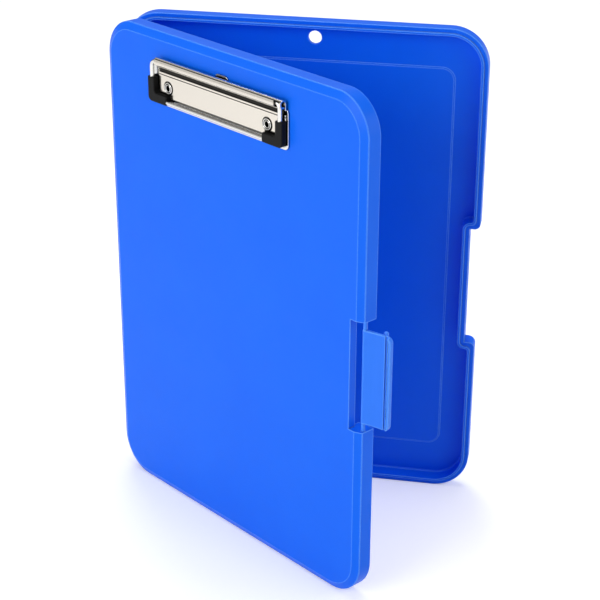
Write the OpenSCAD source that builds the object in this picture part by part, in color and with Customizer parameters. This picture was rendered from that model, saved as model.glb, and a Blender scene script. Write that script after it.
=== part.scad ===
// Storage clipboard box: two shallow halves hinged along one long side like a book,
// a snap latch on the other side and a low spring clip for paper on the front cover.
// It stands on its short end, part open. X runs along the width with the hinge at -X,
// Y runs from the open side to the back of the rear tray, and Z runs up its length.

/* [Case] */
// Width of each half, without the hinge
case_w = 248; // [225:1:275]
// Length of each half, which is its height when it stands
case_h = 343; // [320:1:380]
// Depth of each half from the parting plane to its outer face
half_d = 12.5; // [11.5:0.5:18]
// Radius of the corners
corner_r = 26; // [20:1:34]
// How far the bevel round the outer face comes in from the side
bevel_in = 5.2; // [3.5:0.1:6.5]
// How deep the bevel is
bevel_d = 2.5; // [1.5:0.1:3.5]
// Thickness of the outer panels
panel_t = 2.2; // [1.6:0.1:2.8]
// Angle between the halves as the box stands
open_angle = 36.4; // [10:0.2:90]

/* [Rim] */
// Width of the flat land round the rim
land_w = 3; // [2.4:0.1:4]
// Width of the lip inside the land of the tray
lip_w = 1.8; // [1.2:0.1:2.4]
// How far the lip stands above the land
lip_h = 1.2; // [0.6:0.1:2]
// Gap between the closed halves
closing_gap = 0.3; // [0.3:0.05:0.8]

/* [Tray floor] */
// Distance from the side of the case to the raised panel
panel_margin_side = 22.5; // [18:0.5:30]
// Distance from the ends of the case to the raised panel
panel_margin_end = 29; // [26:0.5:40]
// Radius of the corners of the raised panel
panel_r = 9; // [4:0.5:14]
// How far the raised panel stands above the floor
panel_step = 0.6; // [0.3:0.1:1]
// Diameter of the hole that hangs the box on a hook
hang_hole_d = 9; // [6:0.5:11]
// Distance of the hanging hole from the top of the case
hang_hole_drop = 13.7; // [12:0.1:18]
// Distance of the hanging hole from the middle of the case, towards the latch
hang_hole_shift = 6.5; // [-8:0.5:8]

/* [Hinge] */
// Distance of the hinge axis outside the case
hinge_out = 3.5; // [3.2:0.1:4.5]
// Radius of the hinge knuckles
knuckle_r = 3.1; // [2.6:0.1:3.1]
// Radius of the hinge pins
pin_r = 1.2; // [0.9:0.1:1.4]
// Number of knuckles in each hinge
knuckles = 5; // [3:2:7]
// Length of each hinge
hinge_len = 64; // [45:1:80]
// Distance of each hinge from its end of the case
hinge_margin = 42; // [36:1:60]

/* [Latch] */
// Height of the latch plate
latch_h = 64.4; // [50:0.2:68]
// Length of the latch plate from its pivot to its free edge
latch_reach = 19.6; // [18:0.1:19.6]
// Thickness of the latch plate
latch_t = 2; // [1.6:0.1:2.4]
// Angle of the latch behind the plane of the cover, as it stands open
latch_angle = 12; // [0:1:30]
// Height of the middle of the latch
latch_z = 164; // [140:1:190]
// Height of the notch in the cover
cover_notch_h = 76; // [74:0.5:78]
// Depth of the notch in the cover
cover_notch_w = 10.1; // [9:0.1:12]
// Height of the notch in the tray
tray_notch_h = 86; // [85:0.5:90]
// Distance of the middle of the notch in the tray below the middle of the latch
tray_notch_shift = 3; // [2.5:0.1:3.5]
// Depth of the notch in the tray
tray_notch_w = 7.3; // [6.8:0.1:8]

/* [Clip] */
// Width of the base plate of the clip
clip_w = 131; // [126:0.5:150]
// Distance of the rivets from the ends of the base plate
rivet_in = 17.5; // [16:0.5:22]
// Distance of the clip from the middle of the cover, towards the hinge
clip_shift = 6.5; // [0:0.5:10]
// Distance of the clip roll's axis from the top of the cover
clip_drop = 17.9; // [17:0.1:30]
// Distance from the roll's axis down to the bottom edge of the base plate
clip_h = 29.6; // [28.8:0.2:34]
// Thickness of the sheet steel
sheet_t = 1.2; // [0.8:0.1:1.3]
// Radius of the wire of the bail
wire_r = 1.5; // [1.1:0.1:1.5]
// Diameter of the rivet heads
rivet_head_d = 9; // [7:0.2:10]
// Diameter of the hole through the rivets
rivet_hole_d = 4.2; // [3:0.1:4.6]
// Travel of the hanging tab
tab_travel = 10; // [6:0.5:10]

/* [Hidden] */

$fn = 64;
over = 1;

// Colours
case_blue = "#1e62f0";
nickel = "#d9d9d6";
satin_steel = "#e4ded9";
rubber_black = "#1b1b1c";
pin_steel = "#a9adb2";

// Case: the parting plane stands half a half's depth in front of the origin
part_y = -half_d / 2;
side_x = case_w / 2;
edge_round = 0.7;
rim_round = 0.3;
round_steps = 4;
wall_t = land_w + lip_w;
rim_z = closing_gap / 2;
floor_z = half_d - panel_t;
hollow_round = 1.2;
notch_mouth_r = 4;
tray_notch_z = latch_z - tray_notch_shift;
hinge_x = -side_x - hinge_out;
knuckle_gap = 0.4;

// Fits
pin_fit = 0.06;
lip_fit = 0.3;
part_fit = 0.3;

// Latch: the pivot is placed from the side and the face of the cover
pivot_in = 2.2;
pivot_down = 5.2;
barrel_r = 1.6;
trunnion_r = 1.3;
trunnion_len = 2.6;
trunnion_end_fit = 0.2;
cap_t = 4;
flange_t = 2.2;
flange_d = 5.6;
latch_corner_r = 4;
bead_r = 1.6;
bead_out = 12;
bead_end = 1.5;
bead_down = tray_notch_w - pivot_in - 0.2;
rib_t = 1.4;
groove_r = bead_r + 0.4;
groove_over = 2.5;
pull_w = 2.2;
pull_h = 1.5;
pull_groove_w = 0.7;
pull_groove_d = 0.5;

// Clip: heights are measured outwards from the face of the cover
clip_x = -clip_shift;
base_t = 1.2;
base_r = 3.2;
roll_in_r = wire_r + 0.1;
roll_r = roll_in_r + sheet_t;
roll_y = case_h - clip_drop;
roll_z = base_t + roll_r;
roll_seam = 0.5;
base_y0 = roll_y - clip_h;
base_y1 = roll_y - 3.2;
plate_y0 = base_y0 + 6;

// Bail: the legs are placed from the ends of the base plate
leg_in_left = 3;
leg_in_right = 4.2;
bail_x0 = clip_x - clip_w / 2 + leg_in_left;
bail_x1 = clip_x + clip_w / 2 - leg_in_right;
bail_y = base_y0 + 3.9;
bend_r = 3;
shoulder_r = 4.5;
roll_ring_w = 1.2;
roll_x0 = bail_x0 + shoulder_r + 0.5;
roll_x1 = bail_x1 + wire_r + part_fit + roll_ring_w;
roll_w = roll_x1 - roll_x0;

// Rubber grips
grip_w = 6.4;
grip_under = 2;
grip_y0 = bail_y - grip_under;
grip_arm_y = 16.8;
grip_arm_x = 18.5;
grip_z0 = base_t + part_fit;
grip_z1 = roll_z + 1.7;
grip_r = 3.4;
grip_end_r = 1;
grip_fillet_r = 2;
cutout_gap = 0.4;

// Rivets, which stand just clear of the grips
rivet_pitch = clip_w - 2 * rivet_in;
rivet_y = grip_y0 + grip_w + part_fit + rivet_head_d / 2;
head_t = 0.7;
head_slope = 0.8;
shank_r = rivet_hole_d / 2 + 0.9;
shank_fit = 0.05;
washer_r = 5.5;
washer_t = 0.8;
tail_t = 0.7;
tail_r = shank_r + 1;

// Hanging tab, which slides in a slot of the base plate
tab_x = (roll_x0 + roll_x1) / 2;
tab_w = 12.4;
tab_t = 0.6;
tab_r = 3;
tab_rise = 1;
tab_foot_w = 19;
tab_foot_h = 3.5;
tab_y0 = rivet_y - 1.9;
tab_y1 = roll_y + roll_r + tab_rise;
tab_hole_r = 2.4;
tab_hole_y = tab_y1 - 6.8;

// ---------------------------------------------------------------- shared shapes

// Rectangle with round corners, standing on y = 0
module rounded_rect(w, h, r) {
    translate([-w / 2, r]) square([w, h - 2 * r]);
    translate([-w / 2 + r, 0]) square([w - 2 * r, h]);
    for (x = [-w / 2 + r, w / 2 - r], y = [r, h - r]) translate([x, y]) circle(r);
}

// Outline of a half, moved inwards, without its latch notch
module case_outline(inset) {
    translate([0, inset])
        rounded_rect(case_w - 2 * inset, case_h - 2 * inset, corner_r - inset);
}

// Notch in the latch side of a half, grown outwards by a margin
module notch_2d(w, h, z, grow) {
    translate([side_x - w - grow, z - h / 2 - grow])
        square([w + grow + over, h + 2 * grow]);
}

module tray_notch_2d(grow) {
    notch_2d(tray_notch_w, tray_notch_h, tray_notch_z, grow);
}

// Rounds off the two outer corners where a notch meets the side
module notch_mouth_2d(h, z) {
    for (s = [-1, 1]) translate([side_x, z + s * h / 2]) difference() {
        translate([-notch_mouth_r, s > 0 ? 0 : -notch_mouth_r])
            square([notch_mouth_r + over, notch_mouth_r]);
        translate([-notch_mouth_r, s * notch_mouth_r]) circle(notch_mouth_r);
    }
}

// Points on a quarter round that turns from one direction to the next
function arc(cx, cy, r, a0, a1) =
    [for (i = [0:round_steps]) let (a = a0 + (a1 - a0) * i / round_steps)
        [cx + r * cos(a), cy + r * sin(a)]];

// Section of the outer skin as [inset, depth], from the rim to the outer face.
// The ridge and the line of the face are softened by small rounds.
bevel_angle = atan2(bevel_d, bevel_in);
ridge_t = edge_round * tan((90 - bevel_angle) / 2);
face_t = edge_round * tan(bevel_angle / 2);
skin = concat(
    arc(rim_round, rim_z + rim_round, rim_round, 270, 180),
    arc(edge_round, half_d - bevel_d - ridge_t, edge_round, 180, 90 + bevel_angle),
    arc(bevel_in + face_t, half_d - edge_round, edge_round, 90 + bevel_angle, 90));

// Closed body of the case outline with the given section all round
module pillow(section) {
    z0 = section[0][1];
    z1 = section[len(section) - 1][1];
    cx = side_x - corner_r;
    cy = case_h / 2 - corner_r;
    half_x = [for (p = section) [side_x - p[0], p[1]]];
    half_y = [for (p = section) [case_h / 2 - p[0], p[1]]];
    turned = concat([[0, z0]], [for (p = section) [corner_r - p[0], p[1]]], [[0, z1]]);
    translate([0, case_h / 2, 0]) {
        for (x = [-cx, cx], y = [-cy, cy]) translate([x, y, 0]) rotate_extrude()
            polygon(turned);
        translate([0, cy, 0]) rotate([90, 0, 0]) linear_extrude(2 * cy)
            polygon(concat(half_x, mirrored(half_x)));
        translate([-cx, 0, 0]) rotate([90, 0, 90]) linear_extrude(2 * cx)
            polygon(concat(half_y, mirrored(half_y)));
    }
}

// The same points on the other side of the middle, in reverse order
function mirrored(points) = [for (i = [len(points) - 1:-1:0]) [-points[i][0], points[i][1]]];

// Section of the hollow inside the walls, with a round where they meet the panel
hollow = concat([[wall_t, -over]],
    arc(wall_t + hollow_round, floor_z - hollow_round, hollow_round, 180, 90));

// Places a half that is drawn lying on the parting plane, depth along +Z
module as_tray() {
    translate([0, part_y, 0]) mirror([0, 1, 0]) rotate([90, 0, 0]) children();
}

module as_closed_cover() {
    translate([0, part_y, 0]) rotate([90, 0, 0]) children();
}

// Turns what belongs to the cover about the hinge to where the box stands open
module as_cover() {
    translate([hinge_x, part_y, 0]) rotate([0, 0, -open_angle])
        translate([-hinge_x, -part_y, 0]) as_closed_cover() children();
}

// Lifts a piece of the clip from the face of the cover
module on_face() {
    as_cover() translate([0, 0, half_d]) children();
}

// ---------------------------------------------------------------- hinge

knuckle_pitch = hinge_len / knuckles;
knuckle_len = knuckle_pitch - knuckle_gap;
hinge_starts = [hinge_margin, case_h - hinge_margin - hinge_len];

// Knuckles of one half: every second one, with the web that joins it to the wall
module knuckle_set(first, bore_r) {
    for (y0 = hinge_starts, i = [first:2:knuckles - 1])
        translate([hinge_x, y0 + i * knuckle_pitch + knuckle_gap / 2, 0]) difference() {
            union() {
                rotate([-90, 0, 0]) cylinder(h = knuckle_len, r = knuckle_r);
                translate([0, 0, rim_z])
                    cube([hinge_out + over, knuckle_len, knuckle_r - rim_z]);
            }
            translate([0, -over, 0]) rotate([-90, 0, 0])
                cylinder(h = knuckle_len + 2 * over, r = bore_r);
        }
}

module hinge_pin(y0) {
    color(pin_steel) translate([hinge_x, part_y, y0 + knuckle_gap / 2])
        cylinder(h = hinge_len - knuckle_gap, r = pin_r);
}

// ---------------------------------------------------------------- rear tray

module rear_tray() {
    color(case_blue) as_tray() {
        difference() {
            union() {
                difference() {
                    pillow(skin);
                    difference() {
                        pillow(hollow);
                        translate([0, 0, -2 * over])
                            linear_extrude(half_d + 4 * over)
                                tray_notch_2d(wall_t);
                    }
                }
                tray_lip();
                tray_panel();
            }
            translate([0, 0, -lip_h - over]) linear_extrude(half_d + lip_h + 2 * over) {
                tray_notch_2d(0);
                notch_mouth_2d(tray_notch_h, tray_notch_z);
            }
            bead_groove();
            translate([hang_hole_shift, case_h - hang_hole_drop, floor_z - over])
                cylinder(h = panel_t + 2 * over, r = hang_hole_d / 2);
        }
        knuckle_set(0, pin_r);
    }
}

// Lip that stands up inside the land and seats in the step of the cover
module tray_lip() {
    translate([0, 0, rim_z - lip_h]) linear_extrude(lip_h + over) difference() {
        difference() {
            case_outline(land_w);
            tray_notch_2d(land_w);
        }
        difference() {
            case_outline(wall_t);
            tray_notch_2d(wall_t);
        }
    }
}

// Raised panel in the middle of the floor
module tray_panel() {
    w = case_w - 2 * panel_margin_side;
    h = case_h - 2 * panel_margin_end;
    translate([0, panel_margin_end, floor_z - panel_step])
        linear_extrude(panel_step + over) rounded_rect(w, h, panel_r);
}

// Groove in the notch wall of the tray, where the bead of the closed latch lies
module bead_groove() {
    translate([side_x - pivot_in - bead_down, latch_z - latch_h / 2 - groove_over,
               pivot_down + bead_out - half_d])
        rotate([-90, 0, 0]) cylinder(h = latch_h + 2 * groove_over, r = groove_r);
}

// ---------------------------------------------------------------- front cover

module front_cover() {
    color(case_blue) as_cover() {
        difference() {
            pillow(skin);
            difference() {
                pillow(hollow);
                translate([0, 0, -2 * over]) linear_extrude(half_d + 4 * over)
                    translate([side_x - cover_notch_w - flange_t,
                               latch_z - cover_notch_h / 2 - cap_t])
                        square([cover_notch_w + flange_t, cover_notch_h + 2 * cap_t]);
            }
            translate([0, 0, -over]) linear_extrude(half_d + 3 * over)
                notch_2d(cover_notch_w, cover_notch_h, latch_z, 0);
            translate([side_x - cover_notch_w - flange_t - over,
                       latch_z - cover_notch_h / 2, -over])
                cube([flange_t + 2 * over, cover_notch_h, half_d - flange_d + over]);
            cover_step();
            trunnion_holes();
            rivet_holes(half_d + over);
        }
        knuckle_set(1, pin_r + pin_fit);
    }
}

// Step inside the rim of the cover that takes the lip of the tray
module cover_step() {
    translate([0, 0, -over]) linear_extrude(over + rim_z + lip_h) difference() {
        case_outline(land_w - lip_fit);
        tray_notch_2d(land_w - lip_fit);
    }
}

module trunnion_holes() {
    for (s = [-1, 1])
        translate([side_x - pivot_in, latch_z + s * cover_notch_h / 2, half_d - pivot_down])
            rotate([-s * 90, 0, 0]) translate([0, 0, -over])
                cylinder(h = trunnion_len + trunnion_end_fit + over, r = trunnion_r + pin_fit);
}

module rivet_holes(h) {
    for (s = [-1, 1]) translate([clip_x + s * rivet_pitch / 2, rivet_y, half_d - h])
        cylinder(h = h + over, r = shank_r + shank_fit);
}

// ---------------------------------------------------------------- latch

// The latch is drawn with its plate along +X from the pivot, outer side up
module latch() {
    color(case_blue) as_cover()
        translate([side_x - pivot_in, latch_z, half_d - pivot_down])
            rotate([0, latch_angle, 0]) latch_body();
}

module latch_body() {
    trunnion_y = cover_notch_h / 2 + trunnion_len;
    bead_h = latch_h - 2 * bead_end;
    latch_plate();
    translate([0, latch_h / 2, 0]) rotate([90, 0, 0]) cylinder(h = latch_h, r = barrel_r);
    translate([0, trunnion_y, 0]) rotate([90, 0, 0])
        cylinder(h = 2 * trunnion_y, r = trunnion_r);
    translate([bead_out - rib_t / 2, -bead_h / 2, -bead_down])
        cube([rib_t, bead_h, bead_down]);
    translate([bead_out, bead_h / 2, -bead_down]) rotate([90, 0, 0])
        cylinder(h = bead_h, r = bead_r);
    for (s = [-1, 1]) translate([bead_out, s * bead_h / 2, -bead_down]) sphere(bead_r);
}

// Flat plate with a raised lip along its free edge and a fine groove behind the lip
module latch_plate() {
    difference() {
        translate([0, 0, -latch_t / 2]) union() {
            linear_extrude(latch_t) latch_outline();
            linear_extrude(latch_t + pull_h) intersection() {
                latch_outline();
                translate([latch_reach - pull_w, -latch_h / 2]) square([pull_w, latch_h]);
            }
        }
        translate([latch_reach - pull_w - pull_groove_w, -latch_h / 2 - over,
                   latch_t / 2 - pull_groove_d])
            cube([pull_groove_w, latch_h + 2 * over, pull_groove_d + over]);
    }
}

module latch_outline() {
    r = latch_corner_r;
    translate([0, -latch_h / 2]) square([latch_reach - r, latch_h]);
    translate([0, -latch_h / 2 + r]) square([latch_reach, latch_h - 2 * r]);
    for (s = [-1, 1]) translate([latch_reach - r, s * (latch_h / 2 - r)]) circle(r);
}

// ---------------------------------------------------------------- paper clip

module clip_base_plate() {
    color(nickel) on_face() linear_extrude(base_t) difference() {
        translate([clip_x, base_y0]) rounded_rect(clip_w, base_y1 - base_y0, base_r);
        for (s = [-1, 1]) translate([clip_x + s * rivet_pitch / 2, rivet_y])
            circle(shank_r + shank_fit);
        tab_slot();
    }
}

// Slot that guides the hanging tab: a wide part for its foot and a neck
module tab_slot() {
    translate([tab_x - tab_foot_w / 2 - part_fit, tab_y0 - part_fit])
        square([tab_foot_w + 2 * part_fit, tab_foot_h + tab_travel + 2 * part_fit]);
    translate([tab_x - tab_w / 2 - part_fit, tab_y0])
        square([tab_w + 2 * part_fit, base_y1 - tab_y0 + over]);
}

module clip_hanging_tab() {
    color(nickel) on_face() translate([0, 0, (base_t - tab_t) / 2])
        linear_extrude(tab_t) difference() {
            union() {
                translate([tab_x - tab_foot_w / 2, tab_y0]) square([tab_foot_w, tab_foot_h]);
                translate([tab_x - tab_w / 2, tab_y0]) square([tab_w, tab_y1 - tab_y0 - tab_r]);
                translate([tab_x - tab_w / 2 + tab_r, tab_y0])
                    square([tab_w - 2 * tab_r, tab_y1 - tab_y0]);
                for (s = [-1, 1])
                    translate([tab_x + s * (tab_w / 2 - tab_r), tab_y1 - tab_r]) circle(tab_r);
            }
            translate([tab_x, tab_hole_y]) circle(tab_hole_r);
        }
}

// Top plate: flat over the base plate, with its upper edge rolled round the bail
module clip_top_plate() {
    color(satin_steel) on_face() difference() {
        union() {
            translate([0, 0, base_t]) linear_extrude(sheet_t) difference() {
                translate([roll_x0, plate_y0]) square([roll_w, roll_y - plate_y0]);
                for (side = [-1, 1]) at_grip(side) grip_cutout_2d();
            }
            translate([roll_x0, roll_y, roll_z]) rotate([0, 90, 0])
                cylinder(h = roll_w, r = roll_r);
        }
        translate([roll_x0 - over, roll_y, roll_z]) rotate([0, 90, 0])
            cylinder(h = roll_w + 2 * over, r = roll_in_r);
        translate([roll_x0 - over, roll_y - roll_r - over, base_t + sheet_t])
            cube([roll_w + 2 * over, roll_r + over, roll_seam]);
        leg_slot();
        for (s = [-1, 1]) translate([clip_x + s * rivet_pitch / 2, rivet_y, base_t - over])
            cylinder(h = sheet_t + 2 * over, r = shank_r + shank_fit);
    }
}

// Slot in the front of the roll, where the leg at the latch end comes out and swings
module leg_slot() {
    reach = wire_r + part_fit;
    translate([bail_x1 - bend_r - part_fit, roll_y - roll_r - over, roll_z - reach])
        cube([bend_r + part_fit + reach, roll_r + over + reach, roll_r + over + reach]);
}

// Places an L shape at a lower corner; side is -1 at the hinge end and 1 at the latch end
module at_grip(side) {
    corner_x = side < 0 ? bail_x0 - grip_w / 2 : bail_x1 + grip_w / 2;
    translate([corner_x, grip_y0, 0]) mirror([side > 0 ? 1 : 0, 0, 0]) children();
}

// Room for a grip in the lower corner of the top plate
module grip_cutout_2d() {
    translate([-over, -over]) {
        square([grip_w + cutout_gap + over, grip_arm_y + cutout_gap + over]);
        square([grip_arm_x + cutout_gap + over, grip_w + cutout_gap + over]);
    }
    inner_fillet(grip_w + cutout_gap, grip_fillet_r - cutout_gap);
}

// Fills the inner corner of an L shape whose arms are w wide
module inner_fillet(w, r) {
    translate([w, w]) difference() {
        square(r);
        translate([r, r]) circle(r);
    }
}

// One quarter bend of the wire in the plane of the bail
module wire_bend(x, y, r, quadrant) {
    translate([x, y, roll_z]) rotate([0, 0, quadrant * 90]) intersection() {
        rotate_extrude() translate([r, 0]) circle(wire_r);
        translate([0, 0, -wire_r - over])
            cube([r + wire_r + over, r + wire_r + over, 2 * wire_r + 2 * over]);
    }
}

module wire_along_x(x0, x1, y) {
    translate([x0, y, roll_z]) rotate([0, 90, 0]) cylinder(h = x1 - x0, r = wire_r);
}

module wire_along_y(x, y0, y1) {
    translate([x, y0, roll_z]) rotate([-90, 0, 0]) cylinder(h = y1 - y0, r = wire_r);
}

// Wire loop: its top bar turns in the roll, its lower bar and grips hold the paper
module bail_loop() {
    wire_along_x(bail_x0 + shoulder_r, bail_x1 - bend_r, roll_y);
    wire_along_x(bail_x0 + bend_r, bail_x1 - bend_r, bail_y);
    wire_along_y(bail_x0, bail_y + bend_r, roll_y - shoulder_r);
    wire_along_y(bail_x1, bail_y + bend_r, roll_y - bend_r);
    wire_bend(bail_x1 - bend_r, roll_y - bend_r, bend_r, 0);
    wire_bend(bail_x0 + shoulder_r, roll_y - shoulder_r, shoulder_r, 1);
    wire_bend(bail_x0 + bend_r, bail_y + bend_r, bend_r, 2);
    wire_bend(bail_x1 - bend_r, bail_y + bend_r, bend_r, 3);
}

module clip_bail() {
    color(nickel) on_face() bail_loop();
}

// Rubber corner moulded round the wire
module clip_grip(side) {
    color(rubber_black) on_face() difference() {
        at_grip(side) translate([0, 0, grip_z0]) linear_extrude(grip_z1 - grip_z0) grip_2d();
        bail_loop();
    }
}

module grip_2d() {
    end = grip_end_r;
    translate([grip_r, 0]) square([grip_arm_x - grip_r - end, grip_w]);
    translate([grip_r, end]) square([grip_arm_x - grip_r, grip_w - 2 * end]);
    translate([0, grip_r]) square([grip_w, grip_arm_y - grip_r - end]);
    translate([end, grip_r]) square([grip_w - 2 * end, grip_arm_y - grip_r]);
    translate([grip_r, grip_r]) circle(grip_r);
    for (y = [end, grip_w - end]) translate([grip_arm_x - end, y]) circle(end);
    for (x = [end, grip_w - end]) translate([x, grip_arm_y - end]) circle(end);
    inner_fillet(grip_w, grip_fillet_r);
}

// Hollow rivet through the clip, the cover and its washer
module clip_rivet(side) {
    top = base_t + sheet_t;
    bottom = -panel_t - washer_t;
    color(nickel) on_face() translate([clip_x + side * rivet_pitch / 2, rivet_y, 0])
        difference() {
            union() {
                translate([0, 0, top]) cylinder(h = head_t, r1 = rivet_head_d / 2,
                                                r2 = rivet_head_d / 2 - head_slope);
                translate([0, 0, bottom]) cylinder(h = top - bottom, r = shank_r);
                translate([0, 0, bottom - tail_t]) cylinder(h = tail_t, r = tail_r);
            }
            translate([0, 0, bottom - tail_t - over])
                cylinder(h = top - bottom + head_t + tail_t + 2 * over, r = rivet_hole_d / 2);
        }
}

module clip_washer(side) {
    color(pin_steel) on_face()
        translate([clip_x + side * rivet_pitch / 2, rivet_y, -panel_t - washer_t])
            difference() {
                cylinder(h = washer_t, r = washer_r);
                translate([0, 0, -over])
                    cylinder(h = washer_t + 2 * over, r = shank_r + shank_fit);
            }
}

rear_tray();
front_cover();
hinge_pin(hinge_starts[1]);  // hinge_pin_upper
hinge_pin(hinge_starts[0]);  // hinge_pin_lower
latch();
clip_base_plate();
clip_top_plate();
clip_bail();
clip_grip(-1);  // clip_grip_left
clip_grip(1);  // clip_grip_right
clip_hanging_tab();
clip_rivet(-1);  // clip_rivet_left
clip_rivet(1);  // clip_rivet_right
clip_washer(-1);  // clip_washer_left
clip_washer(1);  // clip_washer_right
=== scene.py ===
from math import acos, atan2, cos, degrees, pi, radians, sin, tan

import bmesh
import bpy
from mathutils import Matrix, Vector


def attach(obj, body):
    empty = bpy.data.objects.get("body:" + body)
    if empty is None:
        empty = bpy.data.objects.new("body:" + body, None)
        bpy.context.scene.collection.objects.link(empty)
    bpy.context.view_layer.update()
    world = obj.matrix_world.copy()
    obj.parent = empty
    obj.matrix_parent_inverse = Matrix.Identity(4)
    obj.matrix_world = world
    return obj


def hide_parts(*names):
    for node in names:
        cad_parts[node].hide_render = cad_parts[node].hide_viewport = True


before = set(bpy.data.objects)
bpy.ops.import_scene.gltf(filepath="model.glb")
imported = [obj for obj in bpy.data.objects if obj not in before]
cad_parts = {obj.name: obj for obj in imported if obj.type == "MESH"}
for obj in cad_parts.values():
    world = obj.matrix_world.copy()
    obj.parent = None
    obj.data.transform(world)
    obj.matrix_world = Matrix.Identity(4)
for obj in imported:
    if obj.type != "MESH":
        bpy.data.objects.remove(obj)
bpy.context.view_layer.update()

# ---------------------------------------------------------------- Camera
# Stands a little above the box and to its right, and looks down at it through
# a lens of about 100 mm, so the upright edges draw together slightly.
picture_px = 600
focal_px = 1658
sensor_mm = 36
camera_place = (0.1992, -1.0574, 0.634)
camera_turn = radians(10.78)
camera_tilt = radians(24.78)
camera_roll = radians(0.28)


def add_object(name, data):
    """Adds an object to the scene."""
    thing = bpy.data.objects.new(name, data)
    bpy.context.collection.objects.link(thing)
    return thing


camera_data = bpy.data.cameras.new("camera")
camera_data.sensor_width = sensor_mm
camera_data.lens = focal_px / picture_px * sensor_mm
camera_data.clip_start = 0.01
camera = add_object("camera", camera_data)
camera.matrix_world = (
    Matrix.Translation(camera_place)
    @ Matrix.Rotation(camera_turn, 4, "Z")
    @ Matrix.Rotation(pi / 2 - camera_tilt, 4, "X")
    @ Matrix.Rotation(camera_roll, 4, "Z")
)
bpy.context.scene.camera = camera
bpy.context.scene.view_settings.view_transform = "Standard"

# ---------------------------------------------------------------- Rear tray
# The back half of the case, injection moulded in one shot from blue polypropylene:
# a flat panel, a bevelled edge, and a rim whose inner lip seats in the cover.
# Sizes are in millimetres, lying on the parting plane, with depth towards the back.
case_w = 248
case_h = 343
half_d = 12.5
corner_r = 26
side_x = case_w / 2
parting_y = -half_d / 2
closing_gap = 0.15
bevel_in = 5.2
bevel_d = 2.5
edge_round = 0.7
rim_round = 0.3
land_w = 3
wall_t = 4.8
lip_h = 1.2
floor_z = half_d - 2.2
floor_round = 1.2
latch_z = 164
tray_notch_w = 7.3
tray_notch_h = 86
tray_notch_z = latch_z - 3
notch_mouth_r = 4
panel_side = 22.5
panel_end = 29
panel_r = 9
panel_step = 0.6
panel_foot = 0.02
panel_slope = 1.15
panel_round = 0.5
groove_r = 2
groove_x = side_x - 7.1
groove_z = 4.7
groove_half = 34.7
hole_x = 6.5
hole_y = case_h - 13.7
hole_r = 4.5
hinge_x = -side_x - 3.5
knuckle_r = 3.1
knuckle_gap = 0.4
web_clearance = 0.05
knuckles = 5
hinge_len = 64
hinge_end = 42
hinge_starts = (hinge_end, case_h - hinge_end - hinge_len)
pin_r = 1.2
corner_steps = 16
knuckle_steps = 28
mouth_steps = 10
fine_steps = 48
past = 1


def rounded_path(corners, steps):
    """Outline with a round at each right-angled corner; a corner is x, y, radius."""
    points = []
    for k, (x, y, r) in enumerate(corners):
        here = Vector((x, y))
        back = (Vector(corners[k - 1][:2]) - here).normalized()
        ahead = (Vector(corners[(k + 1) % len(corners)][:2]) - here).normalized()
        centre = here + (back + ahead) * r
        for i in range(steps + 1):
            turn = pi / 2 * i / steps
            points.append(centre - ahead * r * cos(turn) - back * r * sin(turn))
    return points


def inset(corners, amount, least=0.6):
    """Moves an anticlockwise outline inwards, where outer rounds tighten and inner ones widen."""
    moved = []
    for k, (x, y, r) in enumerate(corners):
        here = Vector((x, y))
        come = (here - Vector(corners[k - 1][:2])).normalized()
        go = (Vector(corners[(k + 1) % len(corners)][:2]) - here).normalized()
        turns_left = come.x * go.y - come.y * go.x > 0
        shift = Vector((-come.y - go.y, come.x + go.x)) * amount
        radius = max(r - amount, least) if turns_left else r + amount
        moved.append((x + shift.x, y + shift.y, radius))
    return moved


def ring(points, depth):
    """Outline laid flat at a depth."""
    return [Vector((p[0], p[1], depth)) for p in points]


def arc(across, depth, r, start, end, steps):
    """Points of a round between two angles in degrees, in a section or an outline."""
    turns = [radians(start + (end - start) * i / steps) for i in range(steps + 1)]
    return [(across + r * cos(t), depth + r * sin(t)) for t in turns]


def loft(name, rings, closed=False):
    """Closed body through rings of equal length, with flat ends unless it closes on itself."""
    n = len(rings[0])
    pairs = [(k, k + 1) for k in range(len(rings) - 1)]
    if closed:
        pairs.append((len(rings) - 1, 0))
    faces = [
        (a * n + i, a * n + (i + 1) % n, b * n + (i + 1) % n, b * n + i)
        for a, b in pairs
        for i in range(n)
    ]
    if not closed:
        faces.append(tuple(range(n)))
        faces.append(tuple(range((len(rings) - 1) * n, len(rings) * n)))
    mesh = bpy.data.meshes.new(name)
    mesh.from_pydata([p for r in rings for p in r], [], faces)
    close_up(mesh)
    return add_object(name, mesh)


def close_up(mesh):
    """Joins the doubled points of a closed mesh and turns its faces outwards."""
    work = bmesh.new()
    work.from_mesh(mesh)
    bmesh.ops.remove_doubles(work, verts=work.verts, dist=1e-5)
    bmesh.ops.recalc_face_normals(work, faces=work.faces)
    work.to_mesh(mesh)
    work.free()


def shrink(points, amount):
    """Moves every side of an anticlockwise polygon inwards by the same amount."""
    moved = []
    for k, p in enumerate(points):
        come = (Vector(p) - Vector(points[k - 1])).normalized()
        go = (Vector(points[(k + 1) % len(points)]) - Vector(p)).normalized()
        turn = Vector((-come.y - go.y, come.x + go.x)) / (1 + come.dot(go))
        moved.append(Vector(p) + turn * amount)
    return moved


def prism(name, points, low, high, soft=0, steps=3):
    """Straight body over an outline, with the edges of both ends rounded off if soft."""
    if not soft:
        return loft(name, [ring(points, low), ring(points, high)])
    clean = [Vector(p) for k, p in enumerate(points)
             if (Vector(p) - Vector(points[k - 1])).length > 1e-4]
    turns = [pi / 2 * i / steps for i in range(steps + 1)]
    rings = [ring(shrink(clean, soft * (1 - sin(t))), low + soft * (1 - cos(t))) for t in turns]
    rings += [ring(shrink(clean, soft * (1 - cos(t))), high - soft * (1 - sin(t)))
              for t in turns]
    return loft(name, rings)


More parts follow.
